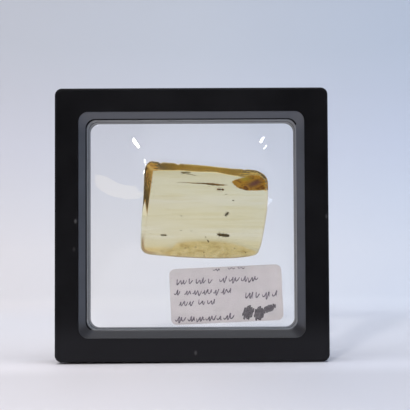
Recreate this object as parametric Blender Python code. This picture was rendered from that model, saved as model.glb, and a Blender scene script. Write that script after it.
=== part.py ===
"""Slab of amber with insects, held between two clear films in a square black frame.

Axes: X across, Y from front to back (the front faces -Y), Z up.  The frame stands
on its lower edge, so Z = 0 is the surface under it.  Shapes are worked out in
millimetres and written in metres.
"""
import math

import bmesh
import bpy
import numpy as np

# ---------------------------------------------------------------- driving dimensions, mm
SIDE = 110.0            # frame, outside
DEPTH = 20.0            # frame, both halves closed
OUTER_R = 2.85          # corner of the outline
EDGE_ROUND = 1.2        # round along the outer front edge
FACE_W = 9.6            # flat face
LEDGE_W = 3.1           # sloped ledge inside the face
LEDGE_STEP = 0.6        # drop from the face to the ledge
LEDGE_FALL = 1.8        # fall across the ledge
LIP_ROUND = 0.3         # rounded corner from the ledge into the window's straight wall
WINDOW_R = 3.8          # corner of the window
REBATE_W = 8.2          # width of the seat that the film lies in
GAP = 0.3               # air between neighbouring pieces
FILM_T = 0.3            # film
FILM_R = 3.0
AMBER_T = 8.8           # slab, face to face
AMBER_ROUND = 0.9       # broken front edge of the slab
LABEL_W, LABEL_H, LABEL_T, LABEL_R = 45.9, 22.8, 0.2, 2.4
LABEL_AT = (13.9, 26.35)
LABEL_TILT = 2.4        # degrees

for ob in list(bpy.data.objects):
    bpy.data.objects.remove(ob, do_unlink=True)

HALF = SIDE / 2
WINDOW = HALF - FACE_W - LEDGE_W                        # half width of the window
SEAT_Y = GAP / 2 + GAP + FILM_T + 0.2                   # depth of the film's seat
FILM_IN = 0.35                                          # inner face of a film at the rim
CZ = HALF                                               # height of the frame's centre

# The slab's outline in X and Z, clockwise from its upper left corner.
OUTLINE = np.array([
    (-18.6, 79.0), (-16.9, 80.8), (-13.2, 80.6), (-5.1, 79.9), (5.9, 78.6), (16.8, 77.2),
    (25.6, 76.8), (28.9, 75.5), (30.7, 73.5), (31.1, 70.5), (31.0, 65.5), (30.7, 61.1),
    (29.8, 55.3), (28.6, 48.8), (27.7, 45.5), (26.0, 42.7), (20.5, 41.6), (13.3, 41.2),
    (5.3, 41.3), (-4.9, 41.8), (-12.2, 42.4), (-17.7, 43.0), (-19.9, 44.1), (-20.8, 46.1),
    (-20.7, 52.7), (-20.2, 60.0), (-19.7, 66.2), (-19.5, 72.8), (-19.3, 76.8)])
# Outline of its flat back face: a steep facet runs along the top and tapers down the
# left side, and a long shallow one lies along the bottom.
BACK_FACE = np.array([
    (-15.8, 77.3), (-9.5, 77.2), (-1.4, 76.9), (5.7, 76.4), (13.1, 75.4), (19.6, 74.4),
    (24.2, 73.6), (27.2, 71.3), (29.2, 68.6), (29.6, 65.4), (29.4, 61.0), (28.5, 55.3),
    (27.2, 49.1), (26.0, 45.2), (20.5, 46.7), (13.2, 48.3), (2.4, 48.8), (-5.6, 48.2),
    (-9.5, 46.5), (-18.1, 45.9), (-19.1, 48.3), (-19.2, 52.7), (-18.8, 58.8),
    (-18.1, 63.3), (-17.4, 68.3), (-16.8, 72.7)])
AMBER_C = np.array([5.1, 59.8])

# Flake of bark in the slab's upper right corner, X and Z.
FLAKE = [(17.2, 72.4), (18.8, 73.6), (22.4, 74.1), (25.9, 74.0), (28.3, 72.6), (29.3, 70.8),
         (29.4, 68.4), (25.4, 68.7), (20.8, 69.8), (18.2, 71.0)]
FLAKE_T = 1.9
# Strand of plant debris: X, Z, half height, half depth.
STRAND = [(-5.9, 72.25, 0.10, 0.10), (-2.5, 72.2, 0.16, 0.14), (0.9, 71.9, 0.26, 0.20),
          (4.9, 71.8, 0.42, 0.26), (8.7, 71.4, 0.52, 0.28), (11.7, 71.2, 0.34, 0.22),
          (14.7, 71.2, 0.14, 0.12)]

# Each insect: centre X and Z, and the turn of its body in degrees.
BEETLE_LARGE = (12.8, 50.7, 178.0)
BEETLE_SMALL = (-11.5, 50.8, 177.0)
ANT = (11.8, 69.3, 176.0)
FLY = (14.2, 59.2, 48.0)
GNAT = (-1.9, 76.3, 178.0)


# ---------------------------------------------------------------- helpers
def material(name, rgb, rough, metal=0.0, transmission=0.0, ior=1.5):
    m = bpy.data.materials.new(name)
    m.use_nodes = True
    b = m.node_tree.nodes["Principled BSDF"]
    b.inputs["Base Color"].default_value = (*rgb, 1.0)
    b.inputs["Roughness"].default_value = rough
    b.inputs["Metallic"].default_value = metal
    b.inputs["Transmission Weight"].default_value = transmission
    b.inputs["IOR"].default_value = ior
    return m


def add(name, verts, faces, mat):
    """A named object from points in millimetres, with its faces turned outwards."""
    mesh = bpy.data.meshes.new(name)
    mesh.from_pydata([tuple(0.001 * c for c in v) for v in verts], [], [tuple(f) for f in faces])
    mesh.update()
    bm = bmesh.new()
    bm.from_mesh(mesh)
    bmesh.ops.recalc_face_normals(bm, faces=bm.faces)
    bm.to_mesh(mesh)
    bm.free()
    mesh.materials.append(mat)
    ob = bpy.data.objects.new(name, mesh)
    bpy.context.collection.objects.link(ob)
    return ob


def combine(ob, others, operation):
    """The solid with every other solid joined to it or cut from it, one after another."""
    for other in others:
        mod = ob.modifiers.new("join", "BOOLEAN")
        mod.operation = operation
        mod.solver = "EXACT"
        mod.object = other
    bpy.context.view_layer.update()
    graph = bpy.context.evaluated_depsgraph_get()
    mesh = bpy.data.meshes.new_from_object(ob.evaluated_get(graph))
    ob.modifiers.clear()
    ob.data = mesh
    for other in others:
        bpy.data.objects.remove(other, do_unlink=True)
    return ob


def square(half, r, segments=5):
    """A round-cornered square in X and Z about the frame's centre, clockwise."""
    out = []
    for cx, cz, start in ((1, 1, 90), (1, -1, 0), (-1, -1, -90), (-1, 1, -180)):
        for i in range(segments + 1):
            a = math.radians(start - 90 * i / segments)
            out.append((cx * (half - r) + r * math.cos(a), CZ + cz * (half - r) + r * math.sin(a)))
    return np.array(out)


def loft(rings, closed=False):
    """Rings of equal count skinned in order: capped at both ends, or closed on itself."""
    n = len(rings[0])
    verts = [tuple(p) for ring in rings for p in ring]
    faces = []
    for k in range(len(rings) if closed else len(rings) - 1):
        a, b = k * n, (k + 1) % len(rings) * n
        faces += [(a + i, a + (i + 1) % n, b + (i + 1) % n, b + i) for i in range(n)]
    if not closed:
        faces += [tuple(range(n)), tuple(range(len(verts) - n, len(verts)))]
    return verts, faces


def hit(poly, direction, centre=AMBER_C):
    """Where a ray from the slab's centre leaves a closed outline."""
    best = None
    for a, b in zip(poly, np.roll(poly, -1, axis=0)):
        m = np.array([direction, a - b]).T
        if abs(np.linalg.det(m)) > 1e-9:
            t, s = np.linalg.solve(m, a - centre)
            if t > 0 and -1e-9 <= s <= 1 + 1e-9:
                best = t if best is None else max(best, t)
    return centre + best * np.asarray(direction)


def in_y(points, y):
    """Points in X and Z set at a depth, one for all or one each."""
    y = np.broadcast_to(y, len(points))
    return [(p[0], float(v), p[1]) for p, v in zip(points, y)]


# ---------------------------------------------------------------- frame
black = material("black_plastic", (0.012, 0.012, 0.014), 0.5)


def frame_half(name, side):
    """One moulding: the profile below, given as inset and depth, led round the square."""
    face = DEPTH / 2
    wall = FACE_W + LEDGE_W
    ledge_in = face - LEDGE_STEP - LEDGE_FALL
    round_c = face - EDGE_ROUND
    profile = [(0.0, GAP / 2), (0.0, round_c)]
    profile += [(EDGE_ROUND * (1 - math.cos(math.radians(a))), round_c + EDGE_ROUND * math.sin(math.radians(a)))
                for a in (35, 65, 90)]
    profile += [(FACE_W - 0.2, face), (FACE_W, face - 0.2), (FACE_W, face - LEDGE_STEP),
                (wall - LIP_ROUND, ledge_in), (wall - 0.3 * LIP_ROUND, ledge_in - 0.3 * LIP_ROUND),
                (wall, ledge_in - LIP_ROUND), (wall, SEAT_Y),
                (wall - REBATE_W, SEAT_Y), (wall - REBATE_W, GAP / 2)]
    rings = []
    for inset, depth in profile:
        r = float(np.interp(inset, (0, FACE_W, HALF - WINDOW), (OUTER_R, 3.9, WINDOW_R)))
        rings.append(in_y(square(HALF - inset, r), side * depth))
    return add(name, *loft(rings, closed=True), black)


frame_half("frame_front", -1)
frame_half("frame_back", 1)

# ---------------------------------------------------------------- slab of amber
amber_mat = material("amber", (0.80, 0.62, 0.22), 0.05, transmission=0.9, ior=1.54)
RAYS = [p - AMBER_C for p in OUTLINE]
FACE_Y = AMBER_T / 2
FRONT_FACE = np.array([hit(OUTLINE, d) - AMBER_ROUND * 1.05 * d / np.linalg.norm(d) for d in RAYS])
BACK_RING = np.array([hit(BACK_FACE, d) for d in RAYS])
# How deep the side wall runs before the back facets start: 45 degrees, but shallow at
# the bottom, where the facet is long.
facet = np.linalg.norm(OUTLINE - BACK_RING, axis=1)
BACK_WALL = FACE_Y - np.minimum(facet * 0.85, 2.3)


def turned_box(x, z, turn, u0, u1, v, w):
    """A cutter for a pocket: a box turned about Y, reaching w to each side of Y = 0."""
    c, s = math.cos(math.radians(turn)), math.sin(math.radians(turn))
    flat = [(u0, -v), (u1, -v), (u1, v), (u0, v)]
    ring = [(x + u * c - q * s, z + u * s + q * c) for u, q in flat]
    return add("cutter", *loft([in_y(ring, -w), in_y(ring, w)]), amber_mat)


def cutters():
    """One pocket for each thing in the slab, with air all round it."""
    out = [turned_box(*BEETLE_LARGE, -3.0, 3.35, 1.35, 0.98),
           turned_box(*BEETLE_SMALL, -1.65, 1.85, 0.95, 0.72),
           turned_box(*ANT, -1.95, 2.25, 1.42, 0.80),
           turned_box(*FLY, -1.65, 1.55, 1.35, 0.86),
           turned_box(*GNAT, -4.25, 2.85, 1.30, 0.72)]
    top = [(x, z + h + 0.34) for x, z, h, _ in STRAND]
    low = [(x, z - h - 0.34) for x, z, h, _ in reversed(STRAND)]
    ring = [(STRAND[0][0] - 0.4, STRAND[0][1]), *top, (STRAND[-1][0] + 0.4, STRAND[-1][1]), *low]
    out.append(add("cutter", *loft([in_y(ring, -0.62), in_y(ring, 0.62)]), amber_mat))
    centre = np.mean(FLAKE, axis=0)
    wide = [tuple(centre + (np.array(p) - centre) * (1 + 0.42 / np.linalg.norm(np.array(p) - centre))) for p in FLAKE]
    out.append(add("cutter", *loft([in_y(wide, -FLAKE_T / 2 - 0.3), in_y(wide, FLAKE_T / 2 + 0.3)]), amber_mat))
    return out


front = add("amber_front", *loft([in_y(OUTLINE, -GAP / 2), in_y(OUTLINE, AMBER_ROUND - FACE_Y),
                                  in_y(FRONT_FACE, -FACE_Y)]), amber_mat)
combine(front, cutters(), "DIFFERENCE")
back = add("amber_back", *loft([in_y(OUTLINE, GAP / 2), in_y(OUTLINE, BACK_WALL),
                                in_y(BACK_RING, FACE_Y)]), amber_mat)
combine(back, cutters(), "DIFFERENCE")

# ---------------------------------------------------------------- films
film_mat = material("clear_film", (0.92, 0.94, 0.96), 0.04, transmission=0.95, ior=1.5)


def tent(face_outline):
    """Height of a film stretched from the window's edge over one face of the slab.

    A stretched skin has no height of its own between its supports: each point settles
    at the mean of its neighbours, and is lifted where the slab is under it.
    """
    n = 120
    xs = np.linspace(-WINDOW, WINDOW, n + 1)
    gx, gz = np.meshgrid(xs, CZ + xs, indexing="ij")
    inside = np.ones(gx.shape, bool)
    for a, b in zip(face_outline, np.roll(face_outline, -1, axis=0)):
        inside &= (b[0] - a[0]) * (gz - a[1]) - (b[1] - a[1]) * (gx - a[0]) <= 0
    free = ~inside
    free[[0, -1], :] = free[:, [0, -1]] = False
    checker = np.indices(gx.shape).sum(axis=0) % 2
    h = np.where(inside, FACE_Y + GAP, FILM_IN)
    for _ in range(260):
        for colour in (0, 1):
            mean = np.zeros_like(h)
            mean[1:-1, 1:-1] = 0.25 * (h[:-2, 1:-1] + h[2:, 1:-1] + h[1:-1, :-2] + h[1:-1, 2:])
            h = np.where(free & (checker == colour), h + 1.93 * (mean - h), h)

    def at(x, z):
        u = min(max((x + WINDOW) / (2 * WINDOW) * n, 0), n - 0.001)
        v = min(max((z - CZ + WINDOW) / (2 * WINDOW) * n, 0), n - 0.001)
        i, j = int(u), int(v)
        u, v = u - i, v - j
        return (h[i, j] * (1 - u) * (1 - v) + h[i + 1, j] * u * (1 - v)
                + h[i, j + 1] * (1 - u) * v + h[i + 1, j + 1] * u * v)
    return at


def film(name, side, face_outline):
    """Rings from the slab's face out to the window and on into the seat, both skins.

    The rays pass through every corner of the slab's face, and through points between.
    """
    hull = np.array([p + 0.7 * (p - AMBER_C) / np.linalg.norm(p - AMBER_C) for p in sorted(
        face_outline, key=lambda p: -math.atan2(p[1] - AMBER_C[1], p[0] - AMBER_C[0]))])
    height = tent(hull)
    angles = sorted(math.atan2(p[1] - AMBER_C[1], p[0] - AMBER_C[0]) for p in hull)
    filled = []
    for a, b in zip(angles, angles[1:] + [angles[0] + 2 * math.pi]):
        steps = math.ceil((b - a) / math.radians(9.5))
        filled += [a + (b - a) * k / steps for k in range(steps)]
    rays = [np.array([math.cos(a), math.sin(a)]) for a in reversed(filled)]
    inner = np.array([hit(hull, d) for d in rays])
    rim = np.array([hit(square(WINDOW, WINDOW_R), d) for d in rays])
    seat = np.array([hit(square(WINDOW + REBATE_W - GAP, FILM_R), d) for d in rays])
    flats, heights = [inner], [np.full(len(rays), FACE_Y + GAP)]
    for t in (0.14, 0.34, 0.62):
        flats.append(inner + (rim - inner) * t)
        heights.append(np.array([height(*p) for p in flats[-1]]))
    flats += [rim, seat]
    heights += [np.full(len(rays), FILM_IN), np.full(len(rays), FILM_IN)]
    near = [in_y(f, side * h) for f, h in zip(flats, heights)]
    far = [in_y(f, side * (h + FILM_T)) for f, h in zip(flats, heights)]
    return add(name, *loft(near + far[::-1]), film_mat)


film("film_front", -1, FRONT_FACE)
film("film_back", 1, BACK_FACE[[0, 1, 2, 3, 4, 5, 6, 7, 8, 9, 10, 11, 12, 13, 19, 20, 21, 22, 23, 24, 25]])

# ---------------------------------------------------------------- insects
chitin = material("dark_chitin", (0.030, 0.020, 0.012), 0.4)
brown_chitin = material("brown_chitin", (0.110, 0.050, 0.015), 0.4)


def body(stations, sides=8):
    """A body along u: each station is u, half width, half depth and sideways shift."""
    rings = []
    for u, v, w, shift in stations:
        rings.append([(u, shift + v * math.cos(2 * math.pi * i / sides + 0.3),
                       w * math.sin(2 * math.pi * i / sides + 0.3)) for i in range(sides)])
    return loft(rings)


def limb(points, radii, sides=4):
    """A jointed leg or feeler: a tube through its joints, thinner towards its tip."""
    pts = [np.array(p, float) for p in points]
    rings = []
    for k, (p, r) in enumerate(zip(pts, radii)):
        along = pts[min(k + 1, len(pts) - 1)] - pts[max(k - 1, 0)]
        along /= np.linalg.norm(along)
        a = np.cross(along, (0.13, 0.21, 0.97))
        a /= np.linalg.norm(a)
        b = np.cross(along, a)
        rings.append([tuple(p + r * (a * math.cos(2 * math.pi * i / sides + 0.4)
                                     + b * math.sin(2 * math.pi * i / sides + 0.4))) for i in range(sides)])
    return loft(rings)


def wing(root, tip, width, w0, w1, thick=0.10):
    """A flat oval wing from root to tip, rising from depth w0 to w1."""
    root, tip = np.array(root), np.array(tip)
    along = tip - root
    across = np.array([-along[1], along[0]]) / np.linalg.norm(along) * width / 2
    out = []
    for t, s in ((0, 0.25), (0.3, 0.8), (0.62, 1.0), (0.88, 0.72), (1.0, 0.2),
                 (1.0, -0.2), (0.88, -0.72), (0.62, -1.0), (0.3, -0.8), (0, -0.25)):
        p = root + along * t + across * s
        out.append((p[0], p[1], w0 + (w1 - w0) * t))
    return loft([out, [(a, b, c + thick) for a, b, c in out]])


def insect(name, place, mat, shapes):
    """The shapes joined to one solid, turned and set in the slab: u, v, w to X, Z, Y."""
    x, z, turn = place
    c, s = math.cos(math.radians(turn)), math.sin(math.radians(turn))
    obs = []
    for k, (verts, faces) in enumerate(shapes):
        placed = [(x + u * c - v * s, w, z + u * s + v * c) for u, v, w in verts]
        obs.append(add(name if k == 0 else "limb", placed, faces, mat))
    return combine(obs[0], obs[1:], "UNION")


def borer(name, place, k):
    """A wood borer: short head, long collar, rod-like wing cases, six bent legs."""
    st = [(-2.50, 0.16, 0.16), (-2.40, 0.40, 0.38), (-2.05, 0.52, 0.50), (-0.9, 0.60, 0.56),
          (0.30, 0.60, 0.58), (0.50, 0.52, 0.52), (0.62, 0.55, 0.54), (1.20, 0.58, 0.56),
          (1.78, 0.50, 0.50), (1.88, 0.40, 0.42), (2.02, 0.44, 0.44), (2.34, 0.40, 0.40), (2.48, 0.20, 0.22)]
    parts = [body([(k * a, k * b, k * d, 0.0) for a, b, d in st])]
    for sgn in (-1, 1):
        for u, du, out in ((1.35, 0.55, 0.98), (0.05, 0.10, 1.02), (-0.85, -0.45, 0.96)):
            parts.append(limb([(k * u, sgn * k * 0.35, k * 0.20), (k * (u + du * 0.5), sgn * k * 0.78, k * 0.36),
                               (k * (u + du), sgn * k * out, k * 0.10)], [k * 0.13, k * 0.12, k * 0.07]))
        parts.append(limb([(k * 2.15, sgn * k * 0.22, k * 0.05), (k * 2.55, sgn * k * 0.38, k * 0.10),
                           (k * 2.86, sgn * k * 0.30, k * 0.12)], [k * 0.09, k * 0.08, k * 0.13]))
    return insect(name, place, chitin, parts)


borer("beetle_large", BEETLE_LARGE, 1.0)
borer("beetle_small", BEETLE_SMALL, 0.5)

parts = [body([(-1.42, 0.08, 0.08, 0), (-1.28, 0.28, 0.26, 0), (-0.95, 0.44, 0.40, 0), (-0.58, 0.40, 0.36, 0),
               (-0.36, 0.15, 0.15, 0), (-0.24, 0.12, 0.13, 0), (-0.14, 0.17, 0.19, 0), (-0.06, 0.12, 0.13, 0),
               (0.06, 0.20, 0.22, 0), (0.34, 0.27, 0.29, 0), (0.62, 0.24, 0.26, 0), (0.74, 0.14, 0.15, 0),
               (0.86, 0.28, 0.24, 0), (1.12, 0.36, 0.30, 0), (1.34, 0.28, 0.24, 0), (1.46, 0.12, 0.12, 0)])]
for sgn in (-1, 1):
    for u, du, out in ((0.55, 0.50, 0.98), (0.36, 0.05, 1.10), (0.18, -0.55, 1.02)):
        parts.append(limb([(u, sgn * 0.10, 0.10), (u + du * 0.45, sgn * 0.58, 0.42), (u + du * 0.8, sgn * 0.84, 0.10),
                           (u + du * 1.3, sgn * out, -0.10)], [0.07, 0.065, 0.055, 0.045]))
    parts.append(limb([(1.36, sgn * 0.12, 0.05), (1.62, sgn * 0.50, 0.20), (1.94, sgn * 0.32, 0.22)],
                      [0.06, 0.05, 0.05]))
insect("ant", ANT, brown_chitin, parts)

parts = [body([(-1.05, 0.06, 0.06, 0), (-0.90, 0.18, 0.18, 0), (-0.50, 0.29, 0.28, 0), (-0.12, 0.26, 0.26, 0),
               (0.02, 0.16, 0.18, 0), (0.14, 0.32, 0.34, 0), (0.44, 0.36, 0.38, 0), (0.68, 0.22, 0.24, 0),
               (0.74, 0.12, 0.13, 0), (0.80, 0.28, 0.25, 0), (1.00, 0.32, 0.27, 0), (1.16, 0.16, 0.15, 0)])]
for sgn in (-1, 1):
    parts.append(wing((0.36, sgn * 0.15), (-1.30, sgn * 0.74), 0.62, 0.26, 0.30 + 0.06 * sgn))
    for u, du, out in ((0.52, 0.40, 0.92), (0.36, -0.05, 1.04), (0.22, -0.55, 0.94)):
        parts.append(limb([(u, sgn * 0.12, -0.16), (u + du * 0.5, sgn * 0.60, -0.40), (u + du, sgn * out, -0.16)],
                          [0.07, 0.06, 0.045]))
insect("fly", FLY, chitin, parts)

parts = [body([(-2.10, 0.05, 0.05, -0.06), (-1.90, 0.15, 0.15, -0.05), (-1.30, 0.24, 0.23, 0), (-0.60, 0.25, 0.24, 0.02),
               (0.10, 0.20, 0.20, 0.03), (0.28, 0.17, 0.18, 0.03), (0.44, 0.33, 0.34, 0.05), (0.90, 0.40, 0.40, 0.06),
               (1.30, 0.26, 0.28, 0.02), (1.38, 0.14, 0.15, -0.02), (1.46, 0.25, 0.23, -0.05),
               (1.72, 0.29, 0.25, -0.06), (1.92, 0.12, 0.12, -0.08)])]
for sgn in (-1, 1):
    parts.append(wing((0.80, sgn * 0.18), (-1.55, sgn * 0.58), 0.62, 0.24, 0.26 + 0.05 * sgn))
    parts.append(limb([(1.80, sgn * 0.06, 0.10), (2.16, sgn * 0.26, 0.20), (2.52, sgn * 0.34, 0.22)],
                      [0.06, 0.05, 0.05]))
    parts.append(limb([(1.02, sgn * 0.20, -0.12), (1.36, sgn * 0.66, -0.36), (1.98, sgn * 0.82, -0.20)],
                      [0.07, 0.06, 0.05]))
parts.append(limb([(0.62, 0.16, -0.14), (-0.30, 0.62, -0.34), (-2.10, 0.78, -0.22), (-3.90, 1.00, -0.10)],
                  [0.07, 0.07, 0.06, 0.05]))
parts.append(limb([(0.62, -0.14, -0.14), (-0.50, -0.72, -0.34), (-1.60, -0.92, -0.20)], [0.07, 0.06, 0.05]))
insect("gnat", GNAT, chitin, parts)

# ---------------------------------------------------------------- plant debris
bark = material("bark", (0.120, 0.048, 0.018), 0.8)
strand_rings = []
for x, z, hh, hd in STRAND:
    strand_rings.append([(x, hd * math.sin(2 * math.pi * i / 6), z + hh * math.cos(2 * math.pi * i / 6))
                         for i in range(6)])
add("plant_strand", *loft(strand_rings), bark)

flake_c = np.mean(FLAKE, axis=0)
levels = [(-FLAKE_T / 2, 0.62), (-FLAKE_T / 2 + 0.5, 0.93), (0.1, 1.0), (FLAKE_T / 2 - 0.4, 0.9), (FLAKE_T / 2, 0.55)]
add("bark_flake", *loft([in_y([flake_c + (np.array(p) - flake_c) * k for p in FLAKE], y) for y, k in levels]), bark)

# ---------------------------------------------------------------- label
paper = material("label_paper", (0.58, 0.53, 0.57), 0.7)
ct, st = math.cos(math.radians(LABEL_TILT)), math.sin(math.radians(LABEL_TILT))
ring = []
for cx, cz, start in ((1, 1, 90), (1, -1, 0), (-1, -1, -90), (-1, 1, -180)):
    for i in range(5):
        a = math.radians(start - 22.5 * i)
        u = cx * (LABEL_W / 2 - LABEL_R) + LABEL_R * math.cos(a)
        v = cz * (LABEL_H / 2 - LABEL_R) + LABEL_R * math.sin(a)
        ring.append((LABEL_AT[0] + u * ct - v * st, LABEL_AT[1] + u * st + v * ct))
add("label", *loft([in_y(ring, -LABEL_T / 2), in_y(ring, LABEL_T / 2)]), paper)
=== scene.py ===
import math
from functools import partial

import bmesh
import bpy
import numpy as np
from mathutils import Matrix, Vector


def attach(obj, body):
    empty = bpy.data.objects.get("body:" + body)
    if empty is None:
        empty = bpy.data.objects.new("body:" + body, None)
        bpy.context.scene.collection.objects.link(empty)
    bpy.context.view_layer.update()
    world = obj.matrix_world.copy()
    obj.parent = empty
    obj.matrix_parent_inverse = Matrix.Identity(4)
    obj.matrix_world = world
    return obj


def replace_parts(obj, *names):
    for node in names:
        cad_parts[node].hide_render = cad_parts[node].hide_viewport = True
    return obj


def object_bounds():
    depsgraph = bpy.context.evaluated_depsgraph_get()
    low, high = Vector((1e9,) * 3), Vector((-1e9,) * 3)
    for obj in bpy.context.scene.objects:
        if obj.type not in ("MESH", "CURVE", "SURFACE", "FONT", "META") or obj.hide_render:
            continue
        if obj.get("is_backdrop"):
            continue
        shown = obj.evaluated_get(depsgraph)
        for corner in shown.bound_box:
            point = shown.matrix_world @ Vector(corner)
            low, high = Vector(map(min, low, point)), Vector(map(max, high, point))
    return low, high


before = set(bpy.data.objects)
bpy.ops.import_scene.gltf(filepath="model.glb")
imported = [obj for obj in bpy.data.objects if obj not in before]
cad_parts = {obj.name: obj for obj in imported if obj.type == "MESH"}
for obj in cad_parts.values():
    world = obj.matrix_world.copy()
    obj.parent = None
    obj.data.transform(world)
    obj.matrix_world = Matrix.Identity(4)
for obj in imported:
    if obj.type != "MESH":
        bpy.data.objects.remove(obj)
cad_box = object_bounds()


# ============================================================
# The two halves of the frame: injection-moulded black ABS, alike and closed face to face.
# Each is one ring with a flat matte face, a sloped satin ledge and a straight smooth wall
# round the window; the film is welded to its back.
# ============================================================
SIDE, DEPTH, CENTRE_Z = 110.0, 20.0, 55.0      # mm
WINDOW, WINDOW_R = 42.3, 3.8                   # half width of the opening, its corner
LEDGE_IN, WALL_IN = 9.6, 12.7                  # from the outline to the ledge and the wall
SEAT_IN, SEAT_Y, JOINT_Y = 4.5, 0.55, 0.03     # the film's seat and the joint of the halves
EASED = {"interpolation_type": "SMOOTHSTEP"}


def linear(hex_colour):
    """An sRGB hex colour as linear RGBA: the standard curve, channel by channel."""
    rgb = np.array([int(hex_colour[i:i + 2], 16) for i in (1, 3, 5)]) / 255
    rgb = np.where(rgb <= 0.04045, rgb / 12.92, ((rgb + 0.055) / 1.055) ** 2.4)
    return (*rgb.tolist(), 1.0)


def feed(node, inputs):
    """Values, hex colours or links into a node's inputs, by name, or else in the order of
    the inputs that it uses."""
    if not isinstance(inputs, dict):
        inputs = dict(zip([k for k, s in enumerate(node.inputs) if s.enabled], inputs))
    for key, value in inputs.items():
        if isinstance(value, bpy.types.NodeSocket):
            node.id_data.links.new(value, node.inputs[key])
        else:
            node.inputs[key].default_value = linear(value) if isinstance(value, str) else value


def add_node(tree, kind, inputs=(), stops=None, **settings):
    """One node with its settings, its inputs and its ramp's stops, as its first output."""
    node = tree.nodes.new("ShaderNode" + kind)
    for key, value in settings.items():
        setattr(node, key, value)
    feed(node, inputs)
    if stops:
        ramp = node.color_ramp.elements
        for _ in range(len(stops) - 2):
            ramp.new(0.5)
        for element, (place, colour) in zip(ramp, stops.items()):
            element.position = place
            element.color = linear(colour) if isinstance(colour, str) else (*colour, 1.0)
    return next(s for s in node.outputs if s.enabled)


def dress(mat, **sockets):
    """The sockets of a material's shader, set or linked by name."""
    feed(mat.node_tree.nodes["Principled BSDF"],
         {key.replace("_", " "): value for key, value in sockets.items()})


def new_material(name, **sockets):
    """A material with one Principled shader, its sockets set by name."""
    mat = bpy.data.materials.new(name)
    mat.use_nodes = True
    dress(mat, **sockets)
    return mat


def nodes_of(mat):
    """What adds a node to a material, and its Object coordinates."""
    add = partial(add_node, mat.node_tree)
    return add, add("TexCoord").node.outputs["Object"]


def build_mesh(name, points, quads, tris=(), mat_index=None, mats=(), sharp=None):
    """A mesh object from whole arrays, in millimetres, with its faces turned outwards."""
    quads = np.asarray(quads, np.int32).reshape(-1, 4)
    tris = np.asarray(tris, np.int32).reshape(-1, 3)
    mesh = bpy.data.meshes.new(name)
    loops = np.concatenate([quads.ravel(), tris.ravel()])
    sizes = np.concatenate([np.full(len(quads), 4), np.full(len(tris), 3)])
    starts = np.concatenate([[0], np.cumsum(sizes)[:-1]]).astype(np.int32)
    mesh.vertices.add(len(points))
    mesh.vertices.foreach_set("co", (np.asarray(points, float) * 0.001).astype(np.float32).ravel())
    mesh.loops.add(len(loops))
    mesh.loops.foreach_set("vertex_index", loops)
    mesh.polygons.add(len(sizes))
    mesh.polygons.foreach_set("loop_start", starts)
    if mat_index is not None:
        mesh.polygons.foreach_set("material_index", np.asarray(mat_index, np.int32))
    mesh.update(calc_edges=True)
    mesh.validate()
    shell = bmesh.new()
    shell.from_mesh(mesh)
    bmesh.ops.recalc_face_normals(shell, faces=shell.faces)
    shell.to_mesh(mesh)
    shell.free()
    mesh.polygons.foreach_set("use_smooth", np.ones(len(mesh.polygons), bool))
    if sharp:
        mesh.set_sharp_from_angle(angle=math.radians(sharp))
    for mat in mats:
        mesh.materials.append(mat)
    ob = bpy.data.objects.new(name, mesh)
    bpy.context.collection.objects.link(ob)
    return ob


def grid(x, y, z):
    """Points from their coordinates, each spread over the whole grid."""
    return np.stack(np.broadcast_arrays(x, y, z), -1)


def unit(v):
    """Vectors cut or stretched to length 1."""
    return v / np.linalg.norm(v, axis=-1, keepdims=True)


def ring_faces(rows, cols, closed_rows=False):
    """Quads of a grid whose columns close on themselves, and whose rows may."""
    r = np.arange(rows if closed_rows else rows - 1)[:, None]
    c = np.arange(cols)[None, :]
    a, b = r * cols, (r + 1) % rows * cols
    return np.stack([a + c, a + (c + 1) % cols, b + (c + 1) % cols, b + c], -1).reshape(-1, 4)


def round_corners(corners, steps=6):
    """A closed profile of (x, y, radius) corners, each replaced by an arc between its two
    tangent points, with one point more on each straight so that flats shade flat."""
    xy = np.array([c[:2] for c in corners], float)
    out, owner = [], []
    for k, (x, y, radius) in enumerate(corners):
        before, after = xy[k - 1] - xy[k], xy[(k + 1) % len(xy)] - xy[k]
        la, lb = np.linalg.norm(before), np.linalg.norm(after)
        u, v = before / la, after / lb
        half = math.acos(float(np.clip(u @ v, -1, 1))) / 2
        reach = min(radius / math.tan(half), 0.45 * la, 0.45 * lb)
        r = reach * math.tan(half)
        centre = xy[k] + unit(u + v) * r / math.sin(half)
        a0, a1 = xy[k] + u * reach - centre, xy[k] + v * reach - centre
        t = np.linspace(0, 1, steps)[:, None]
        turn = math.acos(float(np.clip(a0 @ a1 / (r * r), -1, 1)))
        arc = centre + (np.sin((1 - t) * turn) * a0 + np.sin(t * turn) * a1) / math.sin(turn)
        past = reach + 0.35 * r
        out += [xy[k] + u * min(past, 0.49 * la), *arc, xy[k] + v * min(past, 0.49 * lb)]
        owner += [k] * (steps + 2)
    return np.array(out), np.array(owner)


def round_square(half, radius, steps=14):
    """Points of a round-cornered square: a quarter circle at each corner, half - radius
    out from the centre both ways.  half and radius may be arrays: one outline each."""
    half, radius = np.atleast_1d(half)[:, None], np.atleast_1d(radius)[:, None]
    quarter = np.linspace(0, math.pi / 2, steps)
    angle = (math.pi / 2 - np.arange(4)[:, None] * math.pi / 2 - quarter).ravel()
    sx, sz = np.repeat([[1, 1, -1, -1], [1, -1, -1, 1]], steps, axis=1)
    straight = half - radius
    return sx * straight + radius * np.cos(angle), sz * straight + radius * np.sin(angle)


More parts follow.
